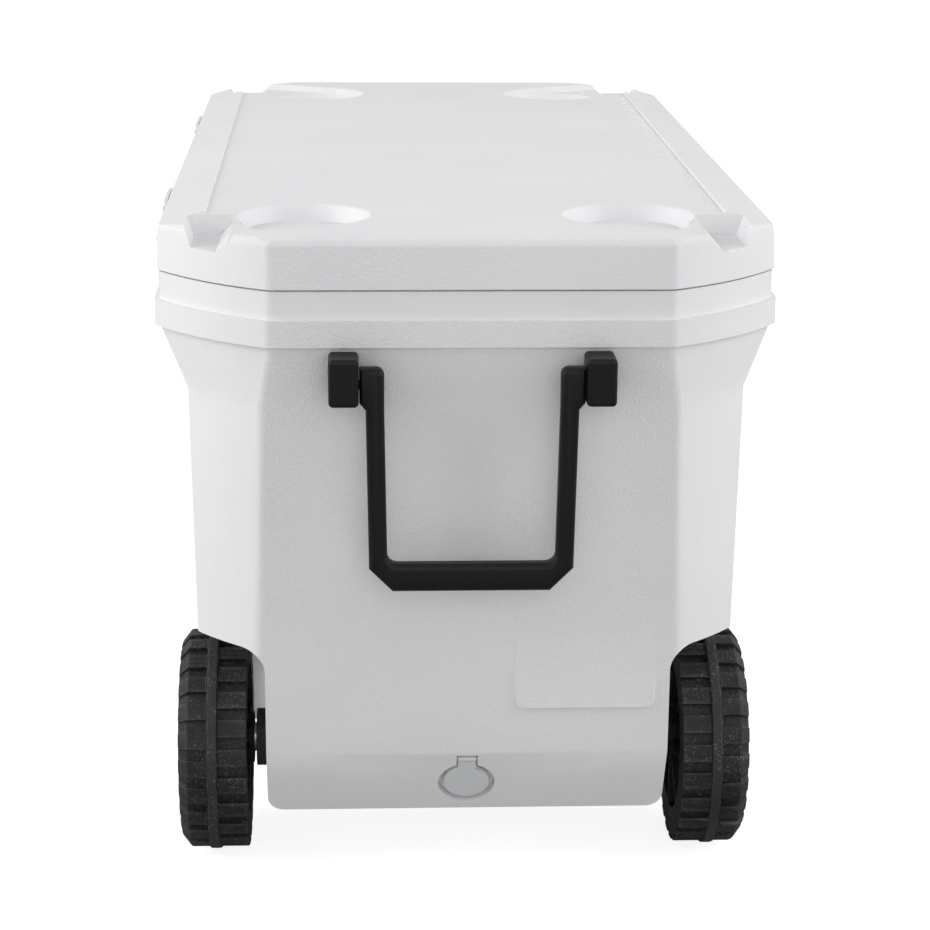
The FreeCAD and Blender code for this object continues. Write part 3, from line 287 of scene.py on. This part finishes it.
def moulded_copy(name):
    """A whole, merged copy of a CAD node, ready to be shaped. It stands for the node."""
    merge_mm = 0.01
    source = frame["nodes"][name]
    piece = source.copy()
    piece.data = source.data.copy()
    piece.name = piece.data.name = "moulded_" + name
    bpy.context.scene.collection.objects.link(piece)
    piece.parent = None
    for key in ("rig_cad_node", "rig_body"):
        if key in piece:
            del piece[key]
    activate(piece)
    bpy.ops.object.mode_set(mode="EDIT")
    bpy.ops.mesh.select_all(action="SELECT")
    bpy.ops.mesh.remove_doubles(threshold=merge_mm * MM)
    bpy.ops.mesh.dissolve_degenerate(threshold=merge_mm * MM)
    bpy.ops.mesh.select_all(action="DESELECT")
    bpy.ops.object.mode_set(mode="OBJECT")
    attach(piece, source["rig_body"])
    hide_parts(name)
    return piece


def finish_piece(piece, body, material_slot):
    """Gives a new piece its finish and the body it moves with."""
    piece.data.materials.clear()
    piece.data.materials.append(FINISH[material_slot])
    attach(piece, body)


def round_edges(piece, width_mm, segments, chosen, sharp=20.0, clamp=True):
    """Rounds those sharp edges of a piece whose two ends chosen accepts."""
    activate(piece)
    bpy.ops.object.mode_set(mode="EDIT")
    bpy.ops.mesh.select_mode(type="EDGE")
    bpy.ops.mesh.select_all(action="DESELECT")
    mesh = bmesh.from_edit_mesh(piece.data)
    for edge in mesh.edges:
        if len(edge.link_faces) == 2 and edge.calc_face_angle(0.0) > math.radians(sharp):
            edge.select = all(chosen(v.co / MM) for v in edge.verts)
    bmesh.update_edit_mesh(piece.data)
    bpy.ops.mesh.bevel(offset=width_mm * MM, segments=segments, affect="EDGES", clamp_overlap=clamp)
    bpy.ops.mesh.select_all(action="DESELECT")
    bpy.ops.object.mode_set(mode="OBJECT")


def soften(piece, width_mm, segments=3, angle=28.0, clamp=True):
    """Rounds every edge that is still sharp, and smooths the shading between."""
    crease, flat_share = 34.0, 80
    activate(piece)
    bevel = piece.modifiers.new("rounding", "BEVEL")
    bevel.width = width_mm * MM
    bevel.segments = segments
    bevel.limit_method = "ANGLE"
    bevel.angle_limit = math.radians(angle)
    bevel.use_clamp_overlap = clamp
    bpy.ops.object.modifier_apply(modifier="rounding")
    bpy.ops.object.shade_smooth_by_angle(angle=math.radians(crease))
    flats = piece.modifiers.new("flat_faces", "WEIGHTED_NORMAL")
    flats.keep_sharp = True
    flats.weight = flat_share
    bpy.ops.object.modifier_apply(modifier="flat_faces")


def new_block(name, low, high):
    """A block between two corners in millimetres, left open for shaping with nothing selected."""
    low, high = Vector(low), Vector(high)
    bpy.ops.object.select_all(action="DESELECT")
    bpy.ops.mesh.primitive_cube_add(size=1.0)
    block = bpy.context.object
    block.name = block.data.name = name
    bpy.ops.object.mode_set(mode="EDIT")
    bpy.ops.transform.resize(value=(high - low) * MM, center_override=(0, 0, 0))
    bpy.ops.transform.translate(value=(low + high) / 2 * MM)
    bpy.ops.mesh.select_all(action="DESELECT")
    return block


def pick_faces(piece, chosen):
    """Selects the faces of the piece being shaped whose normal and middle chosen accepts."""
    bpy.ops.mesh.select_mode(type="FACE")
    bpy.ops.mesh.select_all(action="DESELECT")
    mesh = bmesh.from_edit_mesh(piece.data)
    for face in mesh.faces:
        face.select_set(bool(chosen(face.normal, face.calc_center_median() / MM)))
    bmesh.update_edit_mesh(piece.data)


def pick_edges(piece, chosen, sharp=0.0):
    """Selects the edges of the piece being shaped whose direction and middle chosen accepts."""
    bpy.ops.mesh.select_mode(type="EDGE")
    bpy.ops.mesh.select_all(action="DESELECT")
    mesh = bmesh.from_edit_mesh(piece.data)
    for edge in mesh.edges:
        first, last = (vert.co for vert in edge.verts)
        turned = edge.calc_face_angle(math.pi) >= math.radians(sharp)
        edge.select_set(bool(turned and chosen((last - first).normalized(), (first + last) / 2 / MM)))
    bmesh.update_edit_mesh(piece.data)


# ---------------------------------------------------------------- stage, light and camera
FLOOR_LIFT = 0.86
SKY_LEVEL = 0.41
OBJECT_MIDDLE = (0, 0, 0.25)

bpy.ops.mesh.primitive_plane_add(size=14.0)
floor = bpy.context.object
floor.name = "floor"
floor_paint, floor_tree, floor_shader = new_material("floor_paint", "#B4B4B4", 0.9)
floor.data.materials.append(floor_paint)
# the camera sees the floor lifted to white where no shadow falls; nothing else sees the lift
floor_rays = add_node(floor_tree, "ShaderNodeLightPath")
lift = add_node(floor_tree, "ShaderNodeMath", {"operation": "MULTIPLY"},
                {0: floor_rays.outputs["Is Camera Ray"]})
lift.inputs[1].default_value = FLOOR_LIFT
floor_shader.inputs["Emission Color"].default_value = (1, 1, 1, 1)
floor_tree.links.new(lift.outputs[0], floor_shader.inputs["Emission Strength"])


def area_light(name, location, size, power):
    """A square lamp that faces the object's middle."""
    light = bpy.data.lights.new(name, "AREA")
    light.size = size
    light.energy = power
    lamp = bpy.data.objects.new(name, light)
    bpy.context.scene.collection.objects.link(lamp)
    lamp.location = location
    towards = Vector(OBJECT_MIDDLE) - Vector(location)
    lamp.rotation_euler = towards.to_track_quat("-Z", "Y").to_euler()


area_light("left_light", (-2.6, -0.5, 1.5), 2.2, 56)
area_light("front_light", (0.2, -3.2, 1.3), 2.0, 15)
area_light("right_light", (2.6, -0.5, 1.5), 2.2, 46)

# the sky lights the object dimly; the camera and reflections see it white
world = bpy.data.worlds.new("studio")
bpy.context.scene.world = world
world.use_nodes = True
sky = world.node_tree
sky.nodes["Background"].inputs["Color"].default_value = (1, 1, 1, 1)
sky.nodes["Background"].inputs["Strength"].default_value = SKY_LEVEL
rays = add_node(sky, "ShaderNodeLightPath")
seen = add_node(sky, "ShaderNodeMath", {"operation": "MAXIMUM"})
sky.links.new(rays.outputs["Is Camera Ray"], seen.inputs[0])
sky.links.new(rays.outputs["Is Glossy Ray"], seen.inputs[1])
white = add_node(sky, "ShaderNodeBackground", Color=(1, 1, 1, 1), Strength=1.0)
blend_sky = add_node(sky, "ShaderNodeMixShader", links={"Fac": seen.outputs[0]})
sky.links.new(sky.nodes["Background"].outputs[0], blend_sky.inputs[1])
sky.links.new(white.outputs[0], blend_sky.inputs[2])
sky.links.new(blend_sky.outputs[0], sky.nodes["World Output"].inputs[0])

camera = bpy.data.cameras.new("camera")
camera.lens = 97.7
camera.sensor_width = 36.0
view = bpy.data.objects.new("camera", camera)
bpy.context.scene.collection.objects.link(view)
view.location = (-0.0852, -2.1509, 0.8095)
yaw, pitch, roll = [math.radians(angle) for angle in (2.719, 15.489, 0.422)]
forward = math.cos(pitch)
ahead = Vector((math.sin(yaw) * forward, math.cos(yaw) * forward, -math.sin(pitch)))
view.rotation_euler = ahead.to_track_quat("-Z", "Y").to_euler()
view.rotation_euler.rotate_axis("Z", roll)
bpy.context.scene.camera = view


# ---------------------------------------------------------------- moulded pieces
def near(point, x, y, radius, spread):
    """Whether a point lies on a circle round (x, y), seen from above."""
    return abs(math.hypot(point.x - x, point.y - y) - radius) < spread


def slope_rails(lid, ridge, drop, run):
    """Slopes the top of both long rails down from their ridge towards the lid's sides.

    A wedge is cut away: it starts shallow at the ridge and is deeper by drop at the side.
    """
    shallow, above, beyond = 0.6, 9.0, 5.0
    low, high = [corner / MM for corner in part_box("lid_shell")]
    for side in (-1, 1):
        left, right = sorted((side * ridge, side * (ridge + run)))
        wedge = new_block("rail_slope", (left, low.y - beyond, high.z - shallow),
                          (right, high.y + beyond, high.z + above))
        pick_edges(wedge, lambda along, at: abs(along.y) > 0.9 and abs(at.x) > ridge + 1
                   and at.z < high.z + above / 2)
        bpy.ops.transform.translate(value=(0, 0, -drop * MM))
        bpy.ops.object.mode_set(mode="OBJECT")
        activate(lid)
        slope = lid.modifiers.new("slope", "BOOLEAN")
        slope.operation = "DIFFERENCE"
        slope.solver = "EXACT"
        slope.object = wedge
        bpy.ops.object.modifier_apply(modifier="slope")
        bpy.data.objects.remove(wedge)


def level_panel(lid, level, half):
    """Brings any corner the rolled edges push up between the rails back to the panel's level."""
    slack = 0.05
    activate(lid)
    bpy.ops.object.mode_set(mode="EDIT")
    bpy.ops.mesh.select_mode(type="VERT")
    bpy.ops.mesh.select_all(action="DESELECT")
    bpy.ops.object.mode_set(mode="OBJECT")
    for corner in lid.data.vertices:
        corner.select = corner.co.z > (level + slack) * MM and abs(corner.co.x) < half * MM
    bpy.ops.object.mode_set(mode="EDIT")
    bpy.ops.transform.resize(value=(1, 1, 0), center_override=(0, 0, level * MM))
    bpy.ops.object.mode_set(mode="OBJECT")


def make_lid():
    """The lid: sloping rails, deep soft rims round the drink recesses, rolled edges."""
    lid = moulded_copy("lid_shell")
    low, high = [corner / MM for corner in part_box("lid_shell")]
    panel = high.z - RAIL_HEIGHT
    rail_ridge, rail_drop, rail_run = high.x - 35.0, 7.5, 42.0
    cup_across, cup_along = 117.5, high.y - 97.0
    cup_rim, cup_floor, cup_depth = 48.0, 41.0, 12.0
    notch_in, notch_out, notch_depth = 157.0, 189.0, 16.0
    notch_near, notch_far = high.y - 97.0, high.y - 30.0
    end_depth, end_half = 9.0, 150.0
    slack = 0.8
    cups = [(sx * cup_across, sy * cup_along) for sx in (-1, 1) for sy in (-1, 1)]
    slope_rails(lid, rail_ridge, rail_drop, rail_run)
    round_edges(lid, 4.5, 5, lambda p: abs(p.z - panel) < 0.3 and any(
        near(p, x, y, cup_rim, slack) for x, y in cups))
    round_edges(lid, 4.0, 4, lambda p: abs(p.z - panel + cup_depth) < 0.4 and any(
        near(p, x, y, cup_floor, slack) for x, y in cups))
    round_edges(lid, 1.6, 3, lambda p: panel - notch_depth < p.z < panel - 1
                and notch_in < abs(p.x) < notch_out and notch_near < abs(p.y) < notch_far,
                30.0, False)
    round_edges(lid, 2.2, 4, lambda p: low.z + 6 < p.z < panel + 0.3
                and abs(p.y) > high.y - end_depth and abs(p.x) < end_half, 20.0, False)
    soften(lid, 0.6, 2)
    level_panel(lid, panel, 185.0)


def make_tub():
    """The tub: soft mouths to the wheel wells, and its other sharp edges only just eased."""
    well_low, well_high, well_reach, well_in = 60.0, 260.0, 230.0, 140.0
    tub = moulded_copy("outer_tub")
    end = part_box("outer_tub")[0].y / MM
    round_edges(tub, 4.5, 4, lambda p: well_low < p.z < well_high and p.y < end + well_reach
                and abs(p.x) > well_in, 35.0)
    soften(tub, 0.9, 2)


def make_wheels():
    """Both wheels: blunt lugs on the treads, and hubs with just eased edges."""
    for side in ("left", "right"):
        soften(moulded_copy("wheel_tread_" + side), 1.3, 3, 28.0, False)
        soften(moulded_copy("wheel_hub_" + side), 0.8, 2)


def make_carry_handle():
    """The handle over the wheels: a bar with cut corners, and two arms with a head on each.

    Its half widths, in millimetres, are of the arms' inside and outside, low and high, and the heads.
    """
    box_low, box_high = [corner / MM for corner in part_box("carry_handle")]
    middle, half = (box_low.y + box_high.y) / 2, (box_high.y - box_low.y) / 2
    low, top = box_low.z, box_high.z
    low_in, low_out, high_in, high_out, head = 59.0, 72.0, 61.0, 74.0, 78.2
    grip, head_height, head_cut = 20.0, 30.0, 5.0
    corner_cut, inner_round, head_round, edge_round = 16.5, 7.0, 5.0, 4.2
    pivot = top - 12.5
    head_foot = top - head_height
    bar = new_block("moulded_carry_handle", (-low_in, middle - half, low),
                    (low_in, middle + half, low + grip))
    for side in (-1, 1):
        pick_faces(bar, lambda normal, at: normal.x * side > 0.9 and at.x * side > low_in - 1)
        bpy.ops.mesh.extrude_region_move(
            TRANSFORM_OT_translate={"value": (side * (low_out - low_in) * MM, 0, 0)})
        pick_faces(bar, lambda normal, at: normal.z > 0.9 and at.x * side > low_in)
        bpy.ops.mesh.extrude_region_move(
            TRANSFORM_OT_translate={"value": (0, 0, (head_foot - low - grip) * MM)})
        bpy.ops.transform.translate(value=(side * (high_out - low_out) * MM, 0, 0))
        bpy.ops.mesh.extrude_region_move(
            TRANSFORM_OT_translate={"value": (0, 0, head_height * MM)})
        pick_faces(bar, lambda normal, at: normal.x * side > 0.9 and at.x * side > high_in
                   and at.z > head_foot)
        bpy.ops.mesh.extrude_region_move(
            TRANSFORM_OT_translate={"value": (side * (head - high_out) * MM, 0, 0)})
        pick_edges(bar, lambda along, at: abs(along.y) > 0.9 and at.x * side > head - 1
                   and at.z < pivot)
        bpy.ops.transform.translate(value=(0, 0, head_cut * MM))
    bpy.ops.mesh.select_all(action="SELECT")
    bpy.ops.mesh.dissolve_limited(angle_limit=math.radians(0.5))
    for side in (-1, 1):
        pick_edges(bar, lambda along, at: abs(along.y) > 0.9 and at.x * side > low_out - 0.5
                   and at.z < low + 1)
        bpy.ops.mesh.bevel(offset=corner_cut * MM, segments=1, affect="EDGES")
        pick_edges(bar, lambda along, at: abs(along.y) > 0.9 and abs(at.x * side - low_in) < 0.5
                   and abs(at.z - low - grip) < 0.5)
        bpy.ops.mesh.bevel(offset=inner_round * MM, segments=4, affect="EDGES")
        pick_edges(bar, lambda along, at: abs(along.y) > 0.9 and 0 < at.x * side < high_in + 1
                   and at.z > top - 0.5)
        bpy.ops.mesh.bevel(offset=head_round * MM, segments=3, affect="EDGES")
    pick_edges(bar, lambda along, at: abs(along.y) < 0.1 and abs(abs(at.y - middle) - half) < 0.1, 30.0)
    bpy.ops.mesh.bevel(offset=edge_round * MM, segments=5, affect="EDGES", clamp_overlap=False)
    bpy.ops.object.mode_set(mode="OBJECT")
    bpy.ops.object.shade_smooth_by_angle(angle=math.radians(40))
    finish_piece(bar, "carry_bail", "handle_plastic")
    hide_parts("carry_handle")
    for side, word in ((-1, "left"), (1, "right")):
        make_carry_pin(word, side * head, middle, pivot)


def make_carry_pin(word, face, middle, pivot):
    """The round-edged stub on the face of one handle head, on which the handle swings."""
    half_length, half_thick, sunk = 6.5, 3.2, 1.0
    reach = Vector((half_length, half_thick, half_thick))
    pin = new_block("carry_handle_pin_" + word, -reach, reach)
    out = math.copysign(half_length - sunk, face)
    bpy.ops.mesh.select_all(action="SELECT")
    bpy.ops.transform.translate(value=Vector((face + out, middle, pivot)) * MM)
    pick_edges(pin, lambda along, at: abs(along.x) > 0.9)
    bpy.ops.mesh.bevel(offset=2.0 * MM, segments=4, affect="EDGES")
    bpy.ops.object.mode_set(mode="OBJECT")
    soften(pin, 0.6, 2)
    finish_piece(pin, "carry_bail", "handle_plastic")


def make_bracket(end, side, sign):
    """The block that holds one end of a handle: thick, with well rounded corners."""
    face_inset = 3.5
    name = f"{end}_bracket_{side}"
    low, high = [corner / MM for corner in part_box(name)]
    back = sign * BRACKET_BACK
    near_y, far_y = (low.y, back) if sign < 0 else (back, high.y)
    block = new_block("moulded_" + name, (low.x, near_y, low.z), (high.x, far_y, high.z))
    pick_faces(block, lambda normal, at: normal.y * sign > 0.9)
    bpy.ops.mesh.inset(thickness=face_inset * MM)
    bpy.ops.object.mode_set(mode="OBJECT")
    soften(block, 3.2, 4, 40.0)
    finish_piece(block, "tub", "handle_plastic")
    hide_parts(name)


def make_handles():
    """The short handle over the wheels, the long one at the other end, and their brackets."""
    make_carry_handle()
    soften(moulded_copy("tow_handle"), 3.0, 3, 28.0, False)
    for end, sign in (("carry", -1), ("tow", 1)):
        for side in ("left", "right"):
            make_bracket(end, side, sign)


def make_bare_panel():
    """The shallow raised panel on the end wall, left bare: a flat plate with soft corners."""
    across, level = 85.5, 179.3
    half = Vector((50.5, 0.9, 31.25))
    wall_foot, wall_rise, wall_lean, wall_set_in = 113.0, 264.0, 7.0, 19.0
    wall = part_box("outer_tub")[0].y / MM + wall_set_in - wall_lean * (level - wall_foot) / wall_rise
    panel = new_block("bare_panel", -half, half)
    pick_edges(panel, lambda along, at: abs(along.y) > 0.9)
    bpy.ops.mesh.bevel(offset=6 * MM, segments=5, affect="EDGES")
    pick_faces(panel, lambda normal, at: normal.y < -0.9)
    bpy.ops.mesh.inset(thickness=0.8 * MM, depth=0.3 * MM)
    bpy.ops.mesh.select_all(action="SELECT")
    bpy.ops.transform.rotate(value=math.atan(wall_lean / wall_rise), orient_axis="X",
                             center_override=(0, 0, 0))
    bpy.ops.transform.translate(value=Vector((across, wall, level)) * MM)
    bpy.ops.object.mode_set(mode="OBJECT")
    soften(panel, 0.25, 2)
    finish_piece(panel, "tub", "tub_plastic")


def make_tick(length, edge, start, top):
    """One moulded tick of the scale: a low bar across X whose sides slope in to its crown."""
    half_width, sunk, foot, crown = 0.9, 0.4, 0.2, 0.6
    tick = new_block("scale_tick", (edge - length, start - half_width, top - sunk),
                     (edge, start + half_width, top + foot))
    pick_faces(tick, lambda normal, at: normal.z > 0.9)
    bpy.ops.mesh.extrude_region_move(TRANSFORM_OT_translate={"value": (0, 0, crown * MM)})
    centre = Vector((edge - length / 2, start, top)) * MM
    bpy.ops.transform.resize(value=(0.92, 0.45, 1), center_override=centre)
    pick_edges(tick, lambda along, at: abs(along.z) < 0.1 and at.z > top + 0.7)
    bpy.ops.mesh.bevel(offset=0.12 * MM, segments=1, affect="EDGES")
    bpy.ops.object.mode_set(mode="OBJECT")
    return tick


def move_along(distance_mm):
    """Moves the selected piece along Y, and keeps its place in its mesh."""
    bpy.ops.transform.translate(value=(0, distance_mm * MM, 0))
    bpy.ops.object.transform_apply(location=True, rotation=False, scale=False)


def make_scale():
    """The measuring scale moulded on the lid beside the front rail: a tick every quarter inch."""
    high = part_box("lid_shell")[1] / MM
    top, edge = high.z - RAIL_HEIGHT, high.x - 36.5
    start, pitch, count = -318.0, 6.35, 100
    lengths = (11.0, 4.5, 7.5, 4.5)
    ticks = [make_tick(length, edge, start, top) for length in lengths]
    for step in range(len(lengths), count):
        activate(ticks[step % len(lengths)])
        bpy.ops.object.duplicate()
        ticks.append(bpy.context.object)
        move_along(step * pitch)
    for step in range(1, len(lengths)):
        activate(ticks[step])
        move_along(step * pitch)
    activate(ticks[0])
    for tick in ticks[1:]:
        tick.select_set(True)
    bpy.ops.object.join()
    scale = bpy.context.object
    scale.name = scale.data.name = "lid_scale"
    finish_piece(scale, "lid", "tub_plastic")


make_lid()
make_tub()
make_bare_panel()
make_scale()
soften(moulded_copy("inner_liner"), 0.5, 2)
make_wheels()
make_handles()
soften(moulded_copy("drain_cap"), 0.9, 3, 28.0, False)

bpy.context.scene.view_settings.view_transform = "Standard"
